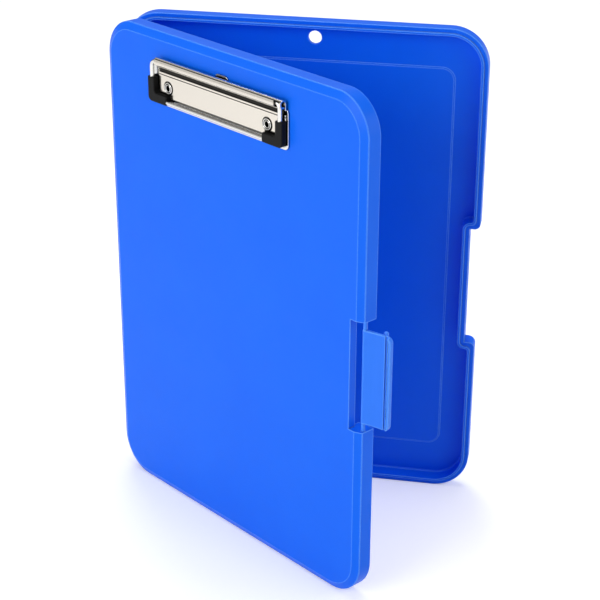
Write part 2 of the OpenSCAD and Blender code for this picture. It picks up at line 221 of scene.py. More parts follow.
def block(name, low, high):
    """Plain box between two opposite corners."""
    corners = [(low[0], low[1]), (high[0], low[1]), (high[0], high[1]), (low[0], high[1])]
    return prism(name, corners, low[2], high[2])


def turned(name, start, towards, section, steps=32):
    """Solid round body on an axis; its section is a list of distance along and radius."""
    turn = Vector((0, 0, 1)).rotation_difference(Vector(towards) - Vector(start))
    rings = [
        [Vector(start) + turn @ Vector((r * cos(2 * pi * i / steps),
                                        r * sin(2 * pi * i / steps), along))
         for i in range(steps)]
        for along, r in section
    ]
    return loft(name, rings)


def rod(name, start, end, radius, steps=32, soft=0):
    """Round bar from one point to another, with its ends chamfered if soft."""
    length = (Vector(end) - Vector(start)).length
    section = [(0, radius), (length, radius)]
    if soft:
        section = [(0, radius - soft), (soft, radius), (length - soft, radius),
                   (length, radius - soft)]
    return turned(name, start, end, section, steps)


def carve(body, *steps):
    """Applies booleans in order; a step is an operation and the body it uses up."""
    for operation, tool in steps:
        cut = body.modifiers.new("cut", "BOOLEAN")
        cut.operation = operation
        cut.object = tool
        cut.solver = "EXACT"
    graph = bpy.context.evaluated_depsgraph_get()
    result = bpy.data.meshes.new_from_object(body.evaluated_get(graph))
    body.modifiers.clear()
    body.data = result
    for operation, tool in steps:
        bpy.data.objects.remove(tool)


def settle(piece, place, material, sharp=32):
    """Moves a finished mesh from millimetres to its place, with smooth and sharp edges."""
    matrix = Matrix.Scale(0.001, 4) @ place
    piece.data.transform(matrix)
    if matrix.determinant() < 0:
        piece.data.flip_normals()
    piece.data.materials.clear()
    piece.data.materials.append(material)
    piece.data.shade_smooth()
    piece.data.set_sharp_from_angle(angle=radians(sharp))
    weigh = piece.modifiers.new("even_shading", "WEIGHTED_NORMAL")
    weigh.keep_sharp = True
    bake_modifiers(piece)


def bake_modifiers(piece):
    """Replaces a piece's mesh with what its modifiers make of it."""
    graph = bpy.context.evaluated_depsgraph_get()
    mesh = bpy.data.meshes.new_from_object(piece.evaluated_get(graph))
    piece.modifiers.clear()
    piece.data = mesh


def linear(hex_colour):
    """sRGB hex to the linear colour that the shader takes."""
    parts = [int(hex_colour[i:i + 2], 16) / 255 for i in (1, 3, 5)]
    lit = [c / 12.92 if c <= 0.04045 else ((c + 0.055) / 1.055) ** 2.4 for c in parts]
    return (*lit, 1)


def add_node(tree, kind, inputs=None, **settings):
    """Adds a node with its settings; an input is a value or another node's socket."""
    node = tree.nodes.new(kind)
    for name, value in settings.items():
        setattr(node, name, value)
    for socket, value in (inputs or {}).items():
        if isinstance(value, bpy.types.NodeSocket):
            tree.links.new(value, node.inputs[socket])
        else:
            node.inputs[socket].default_value = value
    return node


def new_material(name):
    """Empty material and its node tree."""
    material = bpy.data.materials.new(name)
    material.use_nodes = True
    material.node_tree.nodes.clear()
    return material, material.node_tree


def corner_shade(tree, reach, fades, fills, most, samples=8):
    """Share of painted shade in corners and gaps up to a width in millimetres: most where deep.
    """
    hollow = add_node(tree, "ShaderNodeAmbientOcclusion", {"Distance": reach / 1000},
                      samples=samples, name="corner_hollow")
    share = add_node(tree, "ShaderNodeMapRange",
                     {"Value": hollow.outputs["AO"], "From Min": fades, "From Max": fills,
                      "To Min": 0, "To Max": most})
    return share.outputs["Result"]


# Injection-moulded polypropylene, coloured in the mass. The mould was fine blasted, which
# gives a soft gloss that varies in patches of about 1 cm, and the melt leaves faint clouds
# of tone a few centimetres wide.
moulded_polypropylene, tree = new_material("moulded_blue_polypropylene")
place = add_node(tree, "ShaderNodeTexCoord").outputs["Object"]
clouds = add_node(tree, "ShaderNodeTexNoise",
                  {"Vector": place, "Scale": 1 / 0.045, "Detail": 3, "Roughness": 0.55})
tone = add_node(tree, "ShaderNodeMix",
                {0: clouds.outputs["Fac"], 6: linear("#0663ee"), 7: linear("#0b6af3")},
                data_type="RGBA", name="melt_tone")
patches = add_node(tree, "ShaderNodeTexNoise",
                   {"Vector": place, "Scale": 1 / 0.012, "Detail": 4, "Roughness": 0.6})
gloss = add_node(tree, "ShaderNodeMapRange",
                 {"Value": patches.outputs["Fac"], "From Min": 0.3, "From Max": 0.7,
                  "To Min": 0.33, "To Max": 0.42})
# Painted highlight: ridges and edges are painted a paler blue, nearly 1 mm to each side, where
# light would catch their rounds
rounded = add_node(tree, "ShaderNodeBevel", {"Radius": 0.0008}, samples=6)
facing = add_node(tree, "ShaderNodeVectorMath",
                  {0: rounded.outputs["Normal"],
                   1: add_node(tree, "ShaderNodeNewGeometry").outputs["Normal"]},
                  operation="DOT_PRODUCT")
painted_edge_highlight = add_node(tree, "ShaderNodeMapRange",
                  {"Value": facing.outputs["Value"], "From Min": 0.9995, "From Max": 0.99,
                   "To Min": 0, "To Max": 0.85})
edge_highlight_tone = add_node(tree, "ShaderNodeMix",
                     {0: painted_edge_highlight.outputs["Result"], 6: tone.outputs[2], 7: linear("#68aaff")},
                     data_type="RGBA")
# Painted shade: creases up to 1.2 mm wide are painted a darker blue
painted_crease_shade = corner_shade(tree, 1.2, 0.8, 0.45, 0.8, samples=6)
skin_tone = add_node(tree, "ShaderNodeMix",
                     {0: painted_crease_shade, 6: edge_highlight_tone.outputs[2], 7: linear("#022a8c")},
                     data_type="RGBA")
# The blasted grain is about 0.1 mm on the mould; here it is 0.7 mm, so that it shows
grain = add_node(tree, "ShaderNodeTexNoise",
                 {"Vector": place, "Scale": 1 / 0.0007, "Detail": 2, "Roughness": 0.5})
relief = add_node(tree, "ShaderNodeBump",
                  {"Height": grain.outputs["Fac"], "Strength": 0.12, "Distance": 0.00005})
skin = add_node(tree, "ShaderNodeBsdfPrincipled",
                {"Base Color": skin_tone.outputs[2], "Roughness": gloss.outputs["Result"],
                 "Normal": relief.outputs["Normal"], "IOR": 1.49, "Specular IOR Level": 0.14})
add_node(tree, "ShaderNodeOutputMaterial", {"Surface": skin.outputs["BSDF"]})

# Section of the outside, from the face over the ridge to the rim
bevel_angle = atan2(bevel_d, bevel_in)
ridge_t = edge_round * tan((pi / 2 - bevel_angle) / 2)
face_t = edge_round * tan(bevel_angle / 2)
slope = 90 + degrees(bevel_angle)
outer_section = (
    arc(bevel_in + face_t, half_d - edge_round, edge_round, 90, slope, 4)
    + arc(edge_round, half_d - bevel_d - ridge_t, edge_round, slope, 180, 5)
    + arc(rim_round, closing_gap + rim_round, rim_round, 180, 270, 3)
)


def case_ring(amount, depth):
    """Ring round the case, with spare points along the side that has the notch."""
    plain = inset([(-side_x, 0, corner_r), (side_x, 0, corner_r),
                   (side_x, case_h, corner_r), (-side_x, case_h, corner_r)], amount)
    points = rounded_path(plain, corner_steps)
    spare = 4 * (corner_steps + 1)
    after = 2 * (corner_steps + 1)
    low = tray_notch_z - tray_notch_h / 2 - notch_mouth_r
    high = tray_notch_z + tray_notch_h / 2 + notch_mouth_r
    side = [(side_x - amount, low + (high - low) * i / (spare - 1)) for i in range(spare)]
    return ring(points[:after] + side + points[after:], depth)


def notched_ring(amount, depth, notch_w, low, high, mouth_r=6.5, inner_r=0.5):
    """Ring round the case that steps in round a notch in the latch side."""
    corners = [(-side_x, 0, corner_r), (side_x, 0, corner_r),
               (side_x, low, mouth_r), (side_x - notch_w, low, inner_r),
               (side_x - notch_w, high, inner_r), (side_x, high, mouth_r),
               (side_x, case_h, corner_r), (-side_x, case_h, corner_r)]
    return ring(rounded_path(inset(corners, amount), corner_steps), depth)


def knuckle(start):
    """One knuckle of the hinge, with the web that joins it to the wall."""
    low_turn = degrees(atan2(closing_gap, knuckle_r))
    section = (
        [(-side_x + past, knuckle_r)]
        + arc(hinge_x, 0, knuckle_r, 90, 360 + low_turn, knuckle_steps)
        + [(-side_x + past, closing_gap + web_clearance)]
    )
    ends = (start + knuckle_gap / 2, start + hinge_len / knuckles - knuckle_gap / 2)
    return loft("knuckle", [[Vector((x, y, z)) for x, z in section] for y in ends])


def add_knuckles(body, first, bore_r):
    """Every second knuckle of both hinges, bored for the pins."""
    steps = []
    for start in hinge_starts:
        for k in range(first, knuckles, 2):
            steps.append(("UNION", knuckle(start + k * hinge_len / knuckles)))
        steps.append(("DIFFERENCE", rod("bore", (hinge_x, start - past, 0),
                                        (hinge_x, start + hinge_len + past, 0), bore_r)))
    carve(body, *steps)


tray_notch = (tray_notch_w, tray_notch_z - tray_notch_h / 2, tray_notch_z + tray_notch_h / 2)
lip_top = closing_gap - lip_h
lip_section = (
    [(land_w, closing_gap)]
    + arc(land_w + rim_round, lip_top + rim_round, rim_round, 180, 270, 3)
    + arc(wall_t - rim_round, lip_top + rim_round, rim_round, 270, 360, 3)
    + arc(wall_t + floor_round, floor_z - floor_round, floor_round, 180, 90, 5)
)
rear_tray = loft(
    "rear_tray_moulding",
    [case_ring(a, z) for a, z in outer_section]
    + [notched_ring(a, z, *tray_notch) for a, z in lip_section],
)
low, high = tray_notch[1:]
mouth_x = side_x - notch_mouth_r
notch_path = (
    [(side_x + past, low - notch_mouth_r)]
    + arc(mouth_x, low - notch_mouth_r, notch_mouth_r, 0, 90, mouth_steps)
    + [(side_x - tray_notch_w, low), (side_x - tray_notch_w, high)]
    + arc(mouth_x, high + notch_mouth_r, notch_mouth_r, -90, 0, mouth_steps)
    + [(side_x + past, high + notch_mouth_r)]
)
raised = [(-side_x + panel_side, panel_end, panel_r), (side_x - panel_side, panel_end, panel_r),
          (side_x - panel_side, case_h - panel_end, panel_r),
          (-side_x + panel_side, case_h - panel_end, panel_r)]
raised_section = [(0, floor_z + past), (0, floor_z - panel_foot)]
raised_section += arc(panel_slope, floor_z - panel_step + panel_round, panel_round, 225, 270, 4)
carve(
    rear_tray,
    ("DIFFERENCE", prism("notch", notch_path, lip_top - past, half_d + past)),
    ("DIFFERENCE", rod("groove", (groove_x, latch_z - groove_half, groove_z),
                       (groove_x, latch_z + groove_half, groove_z), groove_r)),
    ("UNION", loft("raised_panel",
                   [ring(rounded_path(inset(raised, a), corner_steps), z)
                    for a, z in raised_section])),
    ("DIFFERENCE", rod("hanging_hole", (hole_x, hole_y, floor_z - past),
                       (hole_x, hole_y, half_d + past), hole_r, fine_steps)),
)
add_knuckles(rear_tray, 0, pin_r)
stand_tray = Matrix(((1, 0, 0, 0), (0, 0, 1, parting_y), (0, 1, 0, 0), (0, 0, 0, 1)))
settle(rear_tray, stand_tray, moulded_polypropylene)
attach(rear_tray, "rear_tray")
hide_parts("rear_tray")

# ---------------------------------------------------------------- Front cover
# The front half, moulded like the tray. A step inside its rim takes the tray's lip, and
# a notch in its free side holds the latch between two thick ends that take its pivots.
open_angle = 36.4
lip_fit = 0.3
step_in = land_w - lip_fit
cover_notch_w = 10.1
cover_notch_h = 76
flange_t = 2.2
flange_d = 5.6
pivot_in = 2.2
pivot_z = half_d - 5.2
trunnion_bore_r = 1.36
trunnion_bore_len = 2.8
pin_clearance = 0.06
clip_x = -6.5
rivet_y = 308.6
rivet_half_pitch = 48
rivet_bore_r = 3.05
cap_t = 4

hollow_w = cover_notch_w + flange_t
low = latch_z - cover_notch_h / 2
high = latch_z + cover_notch_h / 2
hollow_notch = (hollow_w - wall_t, low - cap_t + wall_t, high + cap_t - wall_t)
step_rings = [(step_in, closing_gap), (step_in, closing_gap + lip_h)]
hollow_rings = [(wall_t, closing_gap + lip_h)]
hollow_rings += arc(wall_t + floor_round, floor_z - floor_round, floor_round, 180, 90, 5)
front_cover = loft(
    "front_cover_moulding",
    [case_ring(a, z) for a, z in outer_section]
    + [notched_ring(a, z, *tray_notch) for a, z in step_rings]
    + [notched_ring(a, z, *hollow_notch) for a, z in hollow_rings],
)
steps = [
    ("DIFFERENCE", block("notch", (side_x - cover_notch_w, low, -past),
                         (side_x + past, high, half_d + past))),
    ("DIFFERENCE", block("under_flange", (side_x - hollow_w - past, low, -past),
                         (side_x - cover_notch_w + past / 2, high, half_d - flange_d))),
]
for face_y, out in ((low, -1), (high, 1)):
    pivot = Vector((side_x - pivot_in, face_y, pivot_z))
    steps.append(("DIFFERENCE", rod("trunnion_bore", pivot - Vector((0, out * past, 0)),
                                    pivot + Vector((0, out * trunnion_bore_len, 0)),
                                    trunnion_bore_r)))
for side in (-1, 1):
    bore = (clip_x + side * rivet_half_pitch, rivet_y)
    steps.append(("DIFFERENCE", rod("rivet_bore", (*bore, floor_z - past),
                                    (*bore, half_d + past), rivet_bore_r)))
carve(front_cover, *steps)
add_knuckles(front_cover, 1, pin_r + pin_clearance)
to_hinge = Matrix.Translation((hinge_x, parting_y, 0))
stand_cover = (
    to_hinge @ Matrix.Rotation(radians(-open_angle), 4, "Z") @ to_hinge.inverted()
    @ Matrix(((1, 0, 0, 0), (0, 0, -1, parting_y), (0, 1, 0, 0), (0, 0, 0, 1)))
)
settle(front_cover, stand_cover, moulded_polypropylene)
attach(front_cover, "front_cover")
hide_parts("front_cover")

# ---------------------------------------------------------------- Hinge pins
# Two plain rods of drawn steel, pressed into the tray's knuckles and free to turn in
# the cover's. Their cut ends are chamfered.
pin_chamfer = 0.3

drawn_steel, tree = new_material("drawn_steel")
place = add_node(tree, "ShaderNodeTexCoord").outputs["Object"]
# Drawing marks run along the rod, about 0.1 mm wide and several millimetres long
along = add_node(tree, "ShaderNodeMapping",
                 {"Vector": place, "Scale": (1 / 0.0001, 1 / 0.0001, 1 / 0.006)})
marks = add_node(tree, "ShaderNodeTexNoise",
                 {"Vector": along.outputs["Vector"], "Scale": 1, "Detail": 2})
steel_gloss = add_node(tree, "ShaderNodeMapRange",
                       {"Value": marks.outputs["Fac"], "To Min": 0.22, "To Max": 0.42})
steel_tone = add_node(tree, "ShaderNodeMix",
                      {0: marks.outputs["Fac"], 6: linear("#a3a7ac"), 7: linear("#b4b8bc")},
                      data_type="RGBA")
skin = add_node(tree, "ShaderNodeBsdfPrincipled",
                {"Base Color": steel_tone.outputs[2], "Metallic": 1,
                 "Roughness": steel_gloss.outputs["Result"]})
add_node(tree, "ShaderNodeOutputMaterial", {"Surface": skin.outputs["BSDF"]})


def join(name, bodies):
    """Makes one object of several that do not touch."""
    work = bmesh.new()
    for body in bodies:
        work.from_mesh(body.data)
        bpy.data.objects.remove(body)
    mesh = bpy.data.meshes.new(name)
    work.to_mesh(mesh)
    work.free()
    close_up(mesh)
    return add_object(name, mesh)


hinge_pins = join("hinge_pins", [
    rod("pin", (hinge_x, parting_y, start + knuckle_gap / 2),
        (hinge_x, parting_y, start + hinge_len - knuckle_gap / 2), pin_r, soft=pin_chamfer)
    for start in hinge_starts
])
settle(hinge_pins, Matrix(), drawn_steel)
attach(hinge_pins, "rear_tray")
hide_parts("hinge_pin_upper", "hinge_pin_lower")

# ---------------------------------------------------------------- Latch
# A stiff flap of the same blue polypropylene, moulded with its two trunnions. A bead on a
# rib under it snaps into the groove in the tray's notch, and its free edge has a lip for
# the fingertip.
latch_h = 64.4
latch_reach = 19.6
latch_half_t = 1
latch_corner_r = 4
latch_round = 0.35
hinge_edge_r = 0.2
latch_angle = 12
pull_w = 2.2
pull_h = 1.5
pull_round = 0.6
barrel_r = 1.6
trunnion_r = 1.3
trunnion_end = 40.6
bead_r = 1.6
bead_out = 12
bead_down = 4.9
bead_half = 30.7
bead_tip_r = 0.05
rib_half_t = 0.7
barrel_chamfer = 0.3
swell_len = 9
swell_steps = 12
lip_groove_w = 2.4
lip_groove_d = 0.8

# The same polypropylene with its blue painted paler: a painted lit copy that makes the thin latch
# look more brightly lit
pale_lit_polypropylene = moulded_polypropylene.copy()
pale_lit_polypropylene.name = "moulded_blue_polypropylene_painted_pale"
paler = pale_lit_polypropylene.node_tree.nodes["melt_tone"]
paler.inputs[6].default_value = linear("#2b74ee")
paler.inputs[7].default_value = linear("#327df6")

half_h = latch_h / 2
pull_x = latch_reach - pull_w
plate = [(-hinge_edge_r, -half_h, hinge_edge_r), (latch_reach, -half_h, latch_corner_r),
         (latch_reach, half_h, latch_corner_r), (-hinge_edge_r, half_h, hinge_edge_r)]
# The lip fills the plate's free edge, with its rounded corners, to a straight inner side
corner = (latch_reach - latch_corner_r, half_h - latch_corner_r)
turn = degrees(acos(1 - pull_w / latch_corner_r))
lip = (arc(corner[0], -corner[1], latch_corner_r, -turn, 0, 10)
       + arc(*corner, latch_corner_r, 0, turn, 10))
ball = [(along, max(r, bead_tip_r)) for along, r in arc(bead_r, 0, bead_r, 180, 90, 8)]
bead_len = 2 * (bead_half + bead_r)
# The plate swells to its barrel in a soft wave
swell_top = []
for i in range(swell_steps + 1):
    rise = (1 + cos(pi * i / swell_steps)) / 2
    swell_top.append((swell_len * i / swell_steps,
                      latch_half_t + (barrel_r - latch_half_t) * rise))
swell_section = [(0, latch_half_t / 2), (swell_len, latch_half_t / 2)] + swell_top[::-1]
swell = loft("swell", [[Vector((x, y, z)) for x, z in swell_section]
                       for y in (barrel_chamfer - half_h, half_h - barrel_chamfer)])
latch = prism("latch_moulding", rounded_path(plate, 12), -latch_half_t, latch_half_t,
              latch_round)
carve(
    latch,
    ("UNION", prism("pull_lip", lip, 0, latch_half_t + pull_h, pull_round, 5)),
    ("DIFFERENCE", block("groove",
                         (pull_x - lip_groove_w, -half_h - past, latch_half_t - lip_groove_d),
                         (pull_x, half_h + past, latch_half_t + past))),
    ("UNION", rod("barrel", (0, -half_h, 0), (0, half_h, 0), barrel_r, soft=barrel_chamfer)),
    ("UNION", swell),
    ("UNION", rod("trunnions", (0, -trunnion_end, 0), (0, trunnion_end, 0), trunnion_r,
                  soft=barrel_chamfer)),
    ("UNION", block("rib", (bead_out - rib_half_t, -bead_half, -bead_down),
                    (bead_out + rib_half_t, bead_half, -latch_half_t / 2))),
    ("UNION", turned("bead", (bead_out, -bead_half - bead_r, -bead_down),
                     (bead_out, bead_half, -bead_down),
                     ball + [(bead_len - along, r) for along, r in reversed(ball)])),
)
on_pivot = (stand_cover @ Matrix.Translation((side_x - pivot_in, latch_z, pivot_z))
            @ Matrix.Rotation(radians(latch_angle), 4, "Y"))
settle(latch, on_pivot, pale_lit_polypropylene)
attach(latch, "latch")
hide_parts("latch")

# ---------------------------------------------------------------- Clip base plate
# Stamped sheet steel, nickel plated bright, that lies on the cover under the clip and is
# held by the two rivets. A slot in it guides the hanging tab.
clip_half_w = 65.5
base_t = 1.2
base_y0 = 295.5
base_y1 = 321.9
base_corner_r = 3.2
sheet_round = 0.25
roll_x0 = -64
roll_x1 = 57.8
tab_x = (roll_x0 + roll_x1) / 2
tab_y0 = rivet_y - 1.9
tab_half_w = 6.2
tab_foot_half_w = 9.5
tab_foot_h = 3.5
tab_travel = 10
tab_gap = 0.3

# Places on the cover's face are given across it, up it and out of it
on_face = stand_cover @ Matrix.Translation((0, 0, half_d))

# Bright nickel over polished steel: streaks of the sheet's rolling direction stay
# visible as faint bands, and the gloss varies a little from patch to patch.
bright_nickel, tree = new_material("bright_nickel_plate")
place = add_node(tree, "ShaderNodeTexCoord").outputs["Object"]
along = add_node(tree, "ShaderNodeMapping",
                 {"Vector": place, "Rotation": (0, 0, radians(open_angle)),
                  "Scale": (1 / 0.02, 1 / 0.0008, 1 / 0.0008)})
streaks = add_node(tree, "ShaderNodeTexNoise",
                   {"Vector": along.outputs["Vector"], "Scale": 1, "Detail": 3})
nickel_gloss = add_node(tree, "ShaderNodeMapRange",
                        {"Value": streaks.outputs["Fac"], "From Min": 0.3, "From Max": 0.7,
                         "To Min": 0.1, "To Max": 0.17})
nickel_tone = add_node(tree, "ShaderNodeMix",
                       {0: streaks.outputs["Fac"], 6: linear("#d2d1cd"),
                        7: linear("#dfdedb")}, data_type="RGBA")
# Painted shade: corners and gaps up to 1.5 mm wide are painted dark
painted_corner_shade = corner_shade(tree, 1.5, 0.85, 0.45, 0.94)
shaded_tone = add_node(tree, "ShaderNodeMix",
                  {0: painted_corner_shade, 6: nickel_tone.outputs[2], 7: linear("#24211e")},
                  data_type="RGBA")
skin = add_node(tree, "ShaderNodeBsdfPrincipled",
                {"Base Color": shaded_tone.outputs[2], "Metallic": 1,
                 "Roughness": nickel_gloss.outputs["Result"]})
add_node(tree, "ShaderNodeOutputMaterial", {"Surface": skin.outputs["BSDF"]})

left, right = clip_x - clip_half_w, clip_x + clip_half_w
outline = [(x, y, base_corner_r) for x, y in ((left, base_y0), (right, base_y0),
                                              (right, base_y1), (left, base_y1))]
foot_slot_half = tab_foot_half_w + tab_gap
foot_slot_top = tab_y0 + tab_foot_h + tab_travel + tab_gap
neck_slot_half = tab_half_w + tab_gap
base_plate = prism("clip_base_sheet", rounded_path(outline, 8), 0, base_t, sheet_round)
carve(
    base_plate,
    ("DIFFERENCE", block("foot_slot", (tab_x - foot_slot_half, tab_y0 - tab_gap, -past),
                         (tab_x + foot_slot_half, foot_slot_top, base_t + past))),
    ("DIFFERENCE", block("neck_slot", (tab_x - neck_slot_half, tab_y0, -past),
                         (tab_x + neck_slot_half, base_y1 + past, base_t + past))),
    *[("DIFFERENCE", rod("rivet_hole", (clip_x + side * rivet_half_pitch, rivet_y, -past),
                         (clip_x + side * rivet_half_pitch, rivet_y, base_t + past),
                         rivet_bore_r)) for side in (-1, 1)],
)
settle(base_plate, on_face, bright_nickel)
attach(base_plate, "front_cover")
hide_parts("clip_base_plate")

# ---------------------------------------------------------------- Hanging tab
# A thin nickel-plated tongue that slides up out of the base plate's slot, with a round
# hole for a hook. Its wide foot keeps it from leaving the slot.
tab_top = 328.9
tab_low_z = 0.3
tab_high_z = 0.9
tab_round = 0.12
tab_corner_r = 0.4
tab_top_r = 3
hook_y = tab_top - 6.8
hook_r = 2.4

foot_top = tab_y0 + tab_foot_h
right_side = [(tab_foot_half_w, tab_y0, tab_corner_r), (tab_foot_half_w, foot_top, tab_corner_r),
              (tab_half_w, foot_top, tab_corner_r), (tab_half_w, tab_top, tab_top_r)]
tab_outline = [(tab_x + x, y, r) for x, y, r in right_side]
tab_outline += [(tab_x - x, y, r) for x, y, r in reversed(right_side)]
hanging_tab = prism("hanging_tab_sheet", rounded_path(tab_outline, 8), tab_low_z, tab_high_z,
                    tab_round)
carve(hanging_tab, ("DIFFERENCE", rod("hook_hole", (tab_x, hook_y, tab_low_z - past),
                                      (tab_x, hook_y, tab_high_z + past), hook_r)))
settle(hanging_tab, on_face, bright_nickel)
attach(hanging_tab, "hanging_tab")
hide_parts("clip_hanging_tab")

# ---------------------------------------------------------------- Clip top plate
# Sheet steel with a satin nickel finish. Its upper edge is rolled round the wire, its
# lower corners are cut away for the grips, and a slot in the roll lets one leg swing.
sheet_t = 1.2
roll_y = 325.1
roll_z = 4
roll_in_r = 1.6
roll_r = roll_in_r + sheet_t
roll_steps = 32
plate_y0 = 301.5
seam_turn = 196
wire_r = 1.5
bend_r = 3
bail_x0 = -69
bail_x1 = 54.8
leg_gap = 0.3
leg_slot_reach = 4
grip_w = 6.4
grip_arm = 18.5
grip_leg = 16.8
grip_y0 = 297.4
cutout_gap = 0.4
cutout_r = 1.6
cutout_corner_r = 0.1
crease_mid = 319.5
crease_half = 1.4
crease_d = 0.8
line_mid = 316.6
line_half = 0.3
line_d = 0.6
seat_r = 4.7
seat_z = 1.8
under_sheet = 0.5
over_sheet = 3

# Semi-bright nickel: polished along the plate before it was plated, so the gloss is a
# little softer than the wire's and carries fine lines. The real lines are finer than
# 0.1 mm; here they are about 0.3 mm apart, so that they show.
satin_nickel, tree = new_material("satin_nickel_plate")
place = add_node(tree, "ShaderNodeTexCoord").outputs["Object"]
along = add_node(tree, "ShaderNodeMapping",
                 {"Vector": place, "Rotation": (0, 0, radians(open_angle)),
                  "Scale": (1 / 0.03, 1 / 0.0006, 1 / 0.0003)})
brushing = add_node(tree, "ShaderNodeTexNoise",
                    {"Vector": along.outputs["Vector"], "Scale": 1, "Detail": 4,
                     "Roughness": 0.6})
satin_gloss = add_node(tree, "ShaderNodeMapRange",
                       {"Value": brushing.outputs["Fac"], "From Min": 0.3, "From Max": 0.7,
                        "To Min": 0.12, "To Max": 0.19})
satin_tone = add_node(tree, "ShaderNodeMix",
                      {0: brushing.outputs["Fac"], 6: linear("#d2ccc2"),
                       7: linear("#ddd7cd")}, data_type="RGBA")
lines = add_node(tree, "ShaderNodeBump",
                 {"Height": brushing.outputs["Fac"], "Strength": 0.15, "Distance": 0.00003})
# Painted shade: corners up to 2 mm wide are painted nearly black
painted_corner_shade = corner_shade(tree, 2, 0.92, 0.68, 0.96)
# A nearly black band is also painted along the crease pressed below the roll, a painted dark
# reflection; its edge is 0.3 mm soft
at_height = add_node(tree, "ShaderNodeSeparateXYZ", {"Vector": place})
off_crease = add_node(tree, "ShaderNodeMath",
                      {0: at_height.outputs["Z"], 1: crease_mid / 1000}, operation="SUBTRACT")
off_crease = add_node(tree, "ShaderNodeMath", {0: off_crease.outputs[0]},
                      operation="ABSOLUTE")
painted_crease_dark = add_node(tree, "ShaderNodeMapRange",
                     {"Value": off_crease.outputs[0], "From Min": (crease_half + 0.2) / 1000,
                      "From Max": (crease_half - 0.1) / 1000, "To Min": 0, "To Max": 0.98})
painted_dark_share = add_node(tree, "ShaderNodeMath", {0: painted_corner_shade, 1: painted_crease_dark.outputs["Result"]},
                operation="MAXIMUM")
shaded_tone = add_node(tree, "ShaderNodeMix",
                  {0: painted_dark_share.outputs[0], 6: satin_tone.outputs[2], 7: linear("#100f0d")},
                  data_type="RGBA")
skin = add_node(tree, "ShaderNodeBsdfPrincipled",
                {"Base Color": shaded_tone.outputs[2], "Metallic": 1,
                 "Roughness": satin_gloss.outputs["Result"],
                 "Normal": lines.outputs["Normal"]})
add_node(tree, "ShaderNodeOutputMaterial", {"Surface": skin.outputs["BSDF"]})

half_t = sheet_t / 2
mid_r = roll_in_r + half_t
seam = (roll_y + mid_r * cos(radians(seam_turn)), roll_z + mid_r * sin(radians(seam_turn)))
sheet_section = (
    arc(plate_y0 + half_t, base_t + half_t, half_t, 90, 270, 6)
    + arc(roll_y, roll_z, roll_r, -90, seam_turn, roll_steps)
    + arc(*seam, half_t, seam_turn + 30, seam_turn + 150, 4)
    + arc(roll_y, roll_z, roll_in_r, seam_turn, -90, roll_steps)
)
top_plate = prism("clip_top_sheet", sheet_section, roll_x0, roll_x1, sheet_round)
# The section was drawn as height on the cover and lift, with the length as depth
top_plate.data.transform(Matrix(((0, 0, 1, 0), (1, 0, 0, 0), (0, 1, 0, 0), (0, 0, 0, 1))))
# A crease is pressed below the roll, with a fine line beside it
sheet_top = base_t + sheet_t
steps = []
for mid, half, depth in ((crease_mid, crease_half, crease_d), (line_mid, line_half, line_d)):
    steps.append(("DIFFERENCE", block("crease", (roll_x0 - past, mid - half, sheet_top - depth),
                                      (roll_x1 + past, mid + half, sheet_top + past))))


def grip_outline(side, edge, arm, leg, width, rounds, steps):
    """L round a lower corner of the wire, whose outer edges lie an amount past the grip's."""
    corner_x = bail_x1 + grip_w / 2 if side < 0 else bail_x0 - grip_w / 2
    corners = [(-edge, -edge), (arm, -edge), (arm, width), (width, width), (width, leg),
               (-edge, leg)]
    path = [(corner_x + side * x, grip_y0 + y, r) for (x, y), r in zip(corners, rounds)]
    return rounded_path(path[::side], steps)


for side in (1, -1):
    cutout = grip_outline(side, past, grip_arm + cutout_gap, grip_leg + cutout_gap,
                          grip_w + cutout_gap, [cutout_corner_r] * 3 + [cutout_r]
                          + [cutout_corner_r] * 2, 6)
    steps.append(("DIFFERENCE", prism("grip_cutout", cutout, under_sheet, over_sheet)))
leg_slot_half = wire_r + leg_gap
steps.append(("DIFFERENCE", block(
    "leg_slot", (bail_x1 - bend_r - leg_gap, roll_y - leg_slot_reach, roll_z - leg_slot_half),
    (bail_x1 + leg_slot_half, roll_y + leg_slot_half, roll_z + leg_slot_reach))))
for side in (-1, 1):
    at = (clip_x + side * rivet_half_pitch, rivet_y)
    steps.append(("DIFFERENCE", rod("rivet_hole", (*at, under_sheet), (*at, over_sheet),
                                    rivet_bore_r)))
    steps.append(("DIFFERENCE", rod("rivet_seat", (*at, seat_z), (*at, over_sheet), seat_r,
                                    fine_steps)))
carve(top_plate, *steps)
settle(top_plate, on_face, satin_nickel)
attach(top_plate, "front_cover")
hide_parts("clip_top_plate")

# ---------------------------------------------------------------- Bail
# One loop of nickel-plated spring wire, 3 mm thick. Its upper bar turns in the roll and
# its lower bar, inside the grips, presses on the paper. It is grown by a node tree that
# rounds the corners of a rectangle and sweeps the wire's section along it.
bail_y = 299.4
shoulder_r = 4.5


def node_tree(name, sockets):
    """Geometry tree with a geometry output and the named inputs."""
    tree = bpy.data.node_groups.new(name, "GeometryNodeTree")
    tree.interface.new_socket("Geometry", in_out="INPUT", socket_type="NodeSocketGeometry")
    for label, kind in sockets:
        tree.interface.new_socket(label, in_out="INPUT", socket_type="NodeSocket" + kind)
    tree.interface.new_socket("Geometry", in_out="OUTPUT", socket_type="NodeSocketGeometry")
    return tree, tree.nodes.new("NodeGroupInput")


def grow(body, tree, values):
    """Runs a node tree on a body with the given inputs, and keeps the resulting mesh."""
    grower = body.modifiers.new("grower", "NODES")
    grower.node_group = tree
    for item in tree.interface.items_tree:
        if item.in_out == "INPUT" and item.name in values:
            grower[item.identifier] = values[item.name]
    bake_modifiers(body)
    close_up(body.data)


def end_tree(tree, geometry, finish):
    """Ends a geometry tree with real meshes that carry the finish."""
    whole = add_node(tree, "GeometryNodeRealizeInstances", {"Geometry": geometry})
    finished = add_node(tree, "GeometryNodeSetMaterial",
                        {"Geometry": whole.outputs[0], "Material": finish})
    add_node(tree, "NodeGroupOutput", {"Geometry": finished.outputs[0]})


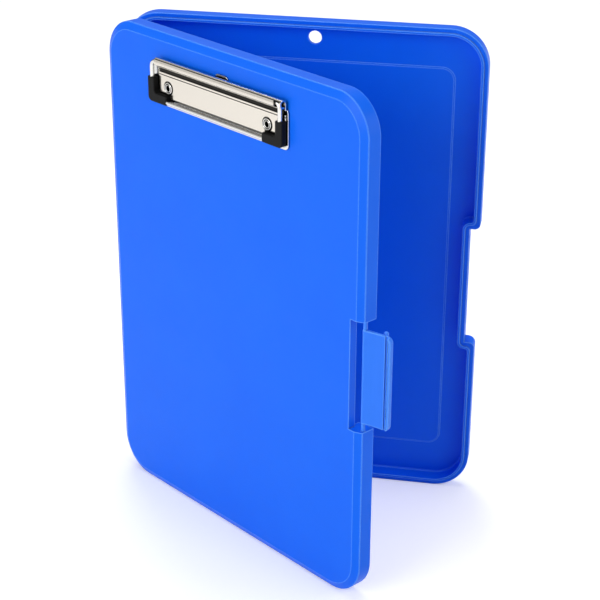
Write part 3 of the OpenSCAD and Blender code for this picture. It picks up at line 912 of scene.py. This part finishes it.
tree, given = node_tree("bent_wire_loop", [
    ("Width", "Float"), ("Height", "Float"), ("Bend", "Float"), ("Shoulder", "Float"),
    ("Wire", "Float"), ("Finish", "Material")])
loop = add_node(tree, "GeometryNodeCurvePrimitiveQuadrilateral",
                {"Width": given.outputs["Width"], "Height": given.outputs["Height"]})
where = add_node(tree, "ShaderNodeSeparateXYZ",
                 {"Vector": add_node(tree, "GeometryNodeInputPosition").outputs[0]})
on_left = add_node(tree, "FunctionNodeCompare", {0: where.outputs["X"], 1: 0},
                   operation="LESS_THAN")
on_top = add_node(tree, "FunctionNodeCompare", {0: where.outputs["Y"], 1: 0},
                  operation="GREATER_THAN")
at_shoulder = add_node(tree, "FunctionNodeBooleanMath",
                       {0: on_left.outputs[0], 1: on_top.outputs[0]}, operation="AND")
bend = add_node(tree, "GeometryNodeSwitch",
                {"Switch": at_shoulder.outputs[0], "False": given.outputs["Bend"],
                 "True": given.outputs["Shoulder"]}, input_type="FLOAT")
bent = add_node(tree, "GeometryNodeFilletCurve",
                {"Curve": loop.outputs[0], "Count": 10, "Radius": bend.outputs[0]},
                mode="POLY")
thickness = add_node(tree, "GeometryNodeCurvePrimitiveCircle",
                     {"Resolution": 24, "Radius": given.outputs["Wire"]})
swept = add_node(tree, "GeometryNodeCurveToMesh",
                 {"Curve": bent.outputs[0], "Profile Curve": thickness.outputs[0]})
end_tree(tree, swept.outputs[0], given.outputs["Finish"])

bail = add_object("clip_bail_wire", bpy.data.meshes.new("clip_bail_wire"))
grow(bail, tree, {"Width": bail_x1 - bail_x0, "Height": roll_y - bail_y, "Bend": float(bend_r),
                  "Shoulder": shoulder_r, "Wire": wire_r, "Finish": bright_nickel})
bail.data.transform(Matrix.Translation(((bail_x0 + bail_x1) / 2, (bail_y + roll_y) / 2,
                                        roll_z)))
wire_shape = bail.data.copy()
settle(bail, on_face, bright_nickel)
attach(bail, "clip_bail")
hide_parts("clip_bail")

# ---------------------------------------------------------------- Grips
# Corners of black rubber moulded round the lower bends of the wire. They keep the sheets
# from sliding and soften the ends of the bar.
grip_low_z = 1.5
grip_high_z = 5.7
grip_round = 0.8
grip_outer_r = 3.4
grip_inner_r = 2
grip_end_r = 1

# Moulded black rubber, with a dull skin that handling leaves a little uneven
moulded_rubber, tree = new_material("moulded_black_rubber")
place = add_node(tree, "ShaderNodeTexCoord").outputs["Object"]
dust = add_node(tree, "ShaderNodeTexNoise",
                {"Vector": place, "Scale": 1 / 0.004, "Detail": 3})
rubber_tone = add_node(tree, "ShaderNodeMix",
                       {0: dust.outputs["Fac"], 6: linear("#0a0a0b"), 7: linear("#121213")},
                       data_type="RGBA")
rubber_gloss = add_node(tree, "ShaderNodeMapRange",
                        {"Value": dust.outputs["Fac"], "To Min": 0.46, "To Max": 0.62})
# Fine grain of the mould, about 0.2 mm
pores = add_node(tree, "ShaderNodeTexNoise",
                 {"Vector": place, "Scale": 1 / 0.0002, "Detail": 2})
relief = add_node(tree, "ShaderNodeBump",
                  {"Height": pores.outputs["Fac"], "Strength": 0.3, "Distance": 0.00004})
skin = add_node(tree, "ShaderNodeBsdfPrincipled",
                {"Base Color": rubber_tone.outputs[2], "IOR": 1.52,
                 "Specular IOR Level": 0.12,
                 "Roughness": rubber_gloss.outputs["Result"],
                 "Normal": relief.outputs["Normal"]})
add_node(tree, "ShaderNodeOutputMaterial", {"Surface": skin.outputs["BSDF"]})

rounds = [grip_outer_r, grip_end_r, grip_end_r, grip_inner_r, grip_end_r, grip_end_r]
for name, side in (("clip_grip_left", 1), ("clip_grip_right", -1)):
    outline = grip_outline(side, 0, grip_arm, grip_leg, grip_w, rounds, 8)
    grip = prism(name + "_rubber", outline, grip_low_z, grip_high_z, grip_round, 5)
    carve(grip, ("DIFFERENCE", add_object("wire", wire_shape.copy())))
    settle(grip, on_face, moulded_rubber, sharp=40)
    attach(grip, "clip_bail")
    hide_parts(name)

# ---------------------------------------------------------------- Rivets
# Two hollow rivets of nickel-plated steel through the clip, the cover and a washer. The
# head is rolled over with a small inner lip. One is turned, and a tree sets both in place.
inner_face = floor_z - half_d
washer_t = 0.8
shank_r = 3
tail_r = 4
tail_t = 0.7
tail_round = 0.3
tail_hole_r = 0.6
head_low = seat_z + 0.1
head_rim_r = 3.4
head_rim_half = 0.45
inner_lip_r = 2.2
inner_lip_half = 0.4
head_groove_d = 0.2
rim_h = 0.6


def turned_ring(name, section):
    """Ring-shaped body turned round the axis of its section, a list of radius and height."""
    rings = [[Vector((r * cos(2 * pi * k / fine_steps), r * sin(2 * pi * k / fine_steps), h))
              for r, h in section] for k in range(fine_steps)]
    return loft(name, rings, closed=True)


def rolled_rim(radius, half, low, turn):
    """Rounded rim of a rolled edge, as radius and height, from its outside inwards."""
    return [(radius + half * cos(radians(a)), low + rim_h * sin(radians(a)))
            for a in range(0, turn + 1, 15)]


pair_tree, given = node_tree("pair_on_clip", [
    ("Middle", "Vector"), ("Pitch", "Vector"), ("Finish", "Material")])
line = add_node(pair_tree, "GeometryNodeMeshLine",
                {"Count": 2, "Start Location": given.outputs["Middle"],
                 "Offset": given.outputs["Pitch"]})
pair = add_node(pair_tree, "GeometryNodeInstanceOnPoints",
                {"Points": line.outputs[0], "Instance": given.outputs["Geometry"]})
end_tree(pair_tree, pair.outputs[0], given.outputs["Finish"])

# The same bright nickel, with its painted shade reaching up to 6 mm deep into the bore
rivet_nickel = bright_nickel.copy()
rivet_nickel.name = "bright_nickel_rivet"
rivet_nickel.node_tree.nodes["corner_hollow"].inputs["Distance"].default_value = 0.006

tail_top = inner_face - washer_t
tail_low = tail_top - tail_t
groove_low = sheet_top - head_groove_d
# The section goes out over the tail, up the shank, over the head and down the hole
rivets = turned_ring("clip_rivet_pair", (
    [(tail_hole_r, tail_low + tail_round), (tail_hole_r + 0.2, tail_low),
     (tail_r - tail_round, tail_low), (tail_r, tail_low + tail_round),
     (tail_r, tail_top - 0.05), (shank_r, tail_top), (shank_r, head_low),
     (head_rim_r + head_rim_half, head_low)]
    + rolled_rim(head_rim_r, head_rim_half, sheet_top + 0.1, 180)
    + [(2.9, groove_low), (2.65, groove_low)]
    + rolled_rim(inner_lip_r, inner_lip_half, sheet_top + 0.05, 150)
    + [(1.75, -2), (tail_hole_r, -2.5)]
))
grow(rivets, pair_tree, {"Middle": (clip_x - rivet_half_pitch, rivet_y, 0),
                         "Pitch": (2 * rivet_half_pitch, 0, 0), "Finish": rivet_nickel})
settle(rivets, on_face, rivet_nickel)
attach(rivets, "front_cover")
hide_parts("clip_rivet_left", "clip_rivet_right")

# ---------------------------------------------------------------- Washers
# Two plain stamped steel washers inside the cover, under the rolled tails of the rivets.
# They spread the pull of the clip over the plastic.
washer_r = 5.5
washer_edge = 0.15
hole_edge = 0.1

washers = turned_ring("clip_washer_pair", [
    (rivet_bore_r, tail_top + hole_edge), (rivet_bore_r + hole_edge, tail_top),
    (washer_r - washer_edge, tail_top), (washer_r, tail_top + washer_edge),
    (washer_r, inner_face - washer_edge), (washer_r - washer_edge, inner_face),
    (rivet_bore_r + hole_edge, inner_face), (rivet_bore_r, inner_face - hole_edge)])
grow(washers, pair_tree, {"Middle": (clip_x - rivet_half_pitch, rivet_y, 0),
                          "Pitch": (2 * rivet_half_pitch, 0, 0), "Finish": drawn_steel})
settle(washers, on_face, drawn_steel)
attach(washers, "front_cover")
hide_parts("clip_washer_left", "clip_washer_right")

# ---------------------------------------------------------------- Floor and light
# A wide, plain white paper floor in the soft light of a small studio, which has large
# diffusers in front, at the right, overhead and high behind. The floor keeps the shadow,
# and where it is seen directly or in a gloss it is lifted to white.
floor_half = 6000
floor_t = 20
flag_turn = radians(26)
room_glow = 0.02
walls = (((0, 0, 1), 0.35), ((-1, 0, 0), 0.3), ((0, 1, 0), 0.15))
case_middle = Vector((0, 0, 0.17))
lamps = (("diffuser_front", (-1.3, -1.65, 0.9), 5.5, 1.3),
         ("diffuser_top", (0, 0.2, 2.4), 3.3, 1.3),
         ("diffuser_front_right", (1.5, -1.2, 1.6), 1.9, 1.3),
         ("diffuser_right", (2.0, 0.2, 0.8), 2.7, 1.3),
         ("diffuser_back", (-0.6, 1.5, 2.4), 2.0, 0.9))

white_paper, tree = new_material("white_studio_paper")
place = add_node(tree, "ShaderNodeTexCoord").outputs["Object"]
fibre = add_node(tree, "ShaderNodeTexNoise", {"Vector": place, "Scale": 1 / 0.4})
paper_tone = add_node(tree, "ShaderNodeMix",
                      {0: fibre.outputs["Fac"], 6: linear("#f7f7f8"), 7: linear("#fafafb")},
                      data_type="RGBA")


def seen_rays(tree, path):
    """1 where a ray comes from the eye or out of a gloss, and 0 for light that scatters."""
    seen = path.outputs["Is Camera Ray"]
    for kind in ("Is Glossy Ray", "Is Transmission Ray"):
        seen = add_node(tree, "ShaderNodeMath", {0: seen, 1: path.outputs[kind]},
                        operation="ADD").outputs[0]
    return seen


seen = seen_rays(tree, add_node(tree, "ShaderNodeLightPath"))
# Far from the lamps it takes more to stay white
away = add_node(tree, "ShaderNodeVectorMath", {0: place}, operation="LENGTH")
white_lift = add_node(tree, "ShaderNodeMapRange",
                      {"Value": away.outputs["Value"], "From Min": 1.6, "From Max": 4,
                       "To Min": 0.3, "To Max": 0.9})
lift = add_node(tree, "ShaderNodeMath", {0: seen, 1: white_lift.outputs["Result"]},
                operation="MULTIPLY")
skin = add_node(tree, "ShaderNodeBsdfPrincipled",
                {"Base Color": paper_tone.outputs[2], "Roughness": 0.9,
                 "Specular IOR Level": 0.1, "Emission Color": (1, 1, 1, 1),
                 "Emission Strength": lift.outputs[0]})
add_node(tree, "ShaderNodeOutputMaterial", {"Surface": skin.outputs["BSDF"]})
floor = block("floor", (-floor_half, -floor_half, -floor_t), (floor_half, floor_half, 0))
settle(floor, Matrix(), white_paper)

world = bpy.data.worlds.new("studio")
world.use_nodes = True
world.node_tree.nodes.clear()
bpy.context.scene.world = world
tree = world.node_tree
towards = add_node(tree, "ShaderNodeTexCoord").outputs["Generated"]
brightness = room_glow
for direction, strength in walls:
    facing = add_node(tree, "ShaderNodeVectorMath", {0: towards, 1: direction},
                      operation="DOT_PRODUCT")
    part = add_node(tree, "ShaderNodeMath", {0: facing.outputs["Value"], 1: 0},
                    operation="MAXIMUM")
    brightness = add_node(tree, "ShaderNodeMath",
                          {0: part.outputs[0], 1: strength, 2: brightness},
                          operation="MULTIPLY_ADD").outputs[0]
# What the gloss shows is bright, but for a dark wall behind that keeps the rims from
# turning pale
path = add_node(tree, "ShaderNodeLightPath")
seen = seen_rays(tree, path)
behind = add_node(tree, "ShaderNodeSeparateXYZ", {"Vector": towards})
wall = add_node(tree, "ShaderNodeMapRange",
                {"Value": behind.outputs["Y"], "From Min": 0.1, "From Max": 0.6,
                 "To Min": 0.45, "To Max": 0.04})
brightness = add_node(tree, "ShaderNodeMath",
                      {0: seen, 1: wall.outputs["Result"], 2: brightness},
                      operation="MULTIPLY_ADD").outputs[0]
# A black flag hangs over the left, level with the clip's length, and draws a dark line
# along its wire and its roll
above = Vector((-sin(radians(open_angle)) * cos(flag_turn),
                -cos(radians(open_angle)) * cos(flag_turn), -sin(flag_turn)))
off_flag = add_node(tree, "ShaderNodeVectorMath", {0: towards, 1: above},
                    operation="DOT_PRODUCT")
off_flag = add_node(tree, "ShaderNodeMath", {0: off_flag.outputs["Value"]},
                    operation="ABSOLUTE")
shade = add_node(tree, "ShaderNodeMapRange",
                 {"Value": off_flag.outputs[0], "From Min": 0.12, "From Max": 0.24,
                  "To Min": 0.02, "To Max": 1})
brightness = add_node(tree, "ShaderNodeMath", {0: brightness, 1: shade.outputs["Result"]},
                      operation="MULTIPLY").outputs[0]
# Past the floor's edge the eye meets plain white
brightness = add_node(tree, "ShaderNodeMath", {0: brightness, 1: path.outputs["Is Camera Ray"]},
                      operation="ADD").outputs[0]
glow = add_node(tree, "ShaderNodeBackground",
                {"Color": (1, 1, 1, 1), "Strength": brightness})
add_node(tree, "ShaderNodeOutputWorld", {"Surface": glow.outputs["Background"]})

for name, spot, power, size in lamps:
    lamp_data = bpy.data.lights.new(name, "AREA")
    lamp_data.size = size
    towards_case = case_middle - Vector(spot)
    lamp_data.energy = power * towards_case.length_squared
    add_object(name, lamp_data).matrix_world = (
        Matrix.Translation(spot) @ towards_case.to_track_quat("-Z", "Y").to_matrix().to_4x4())
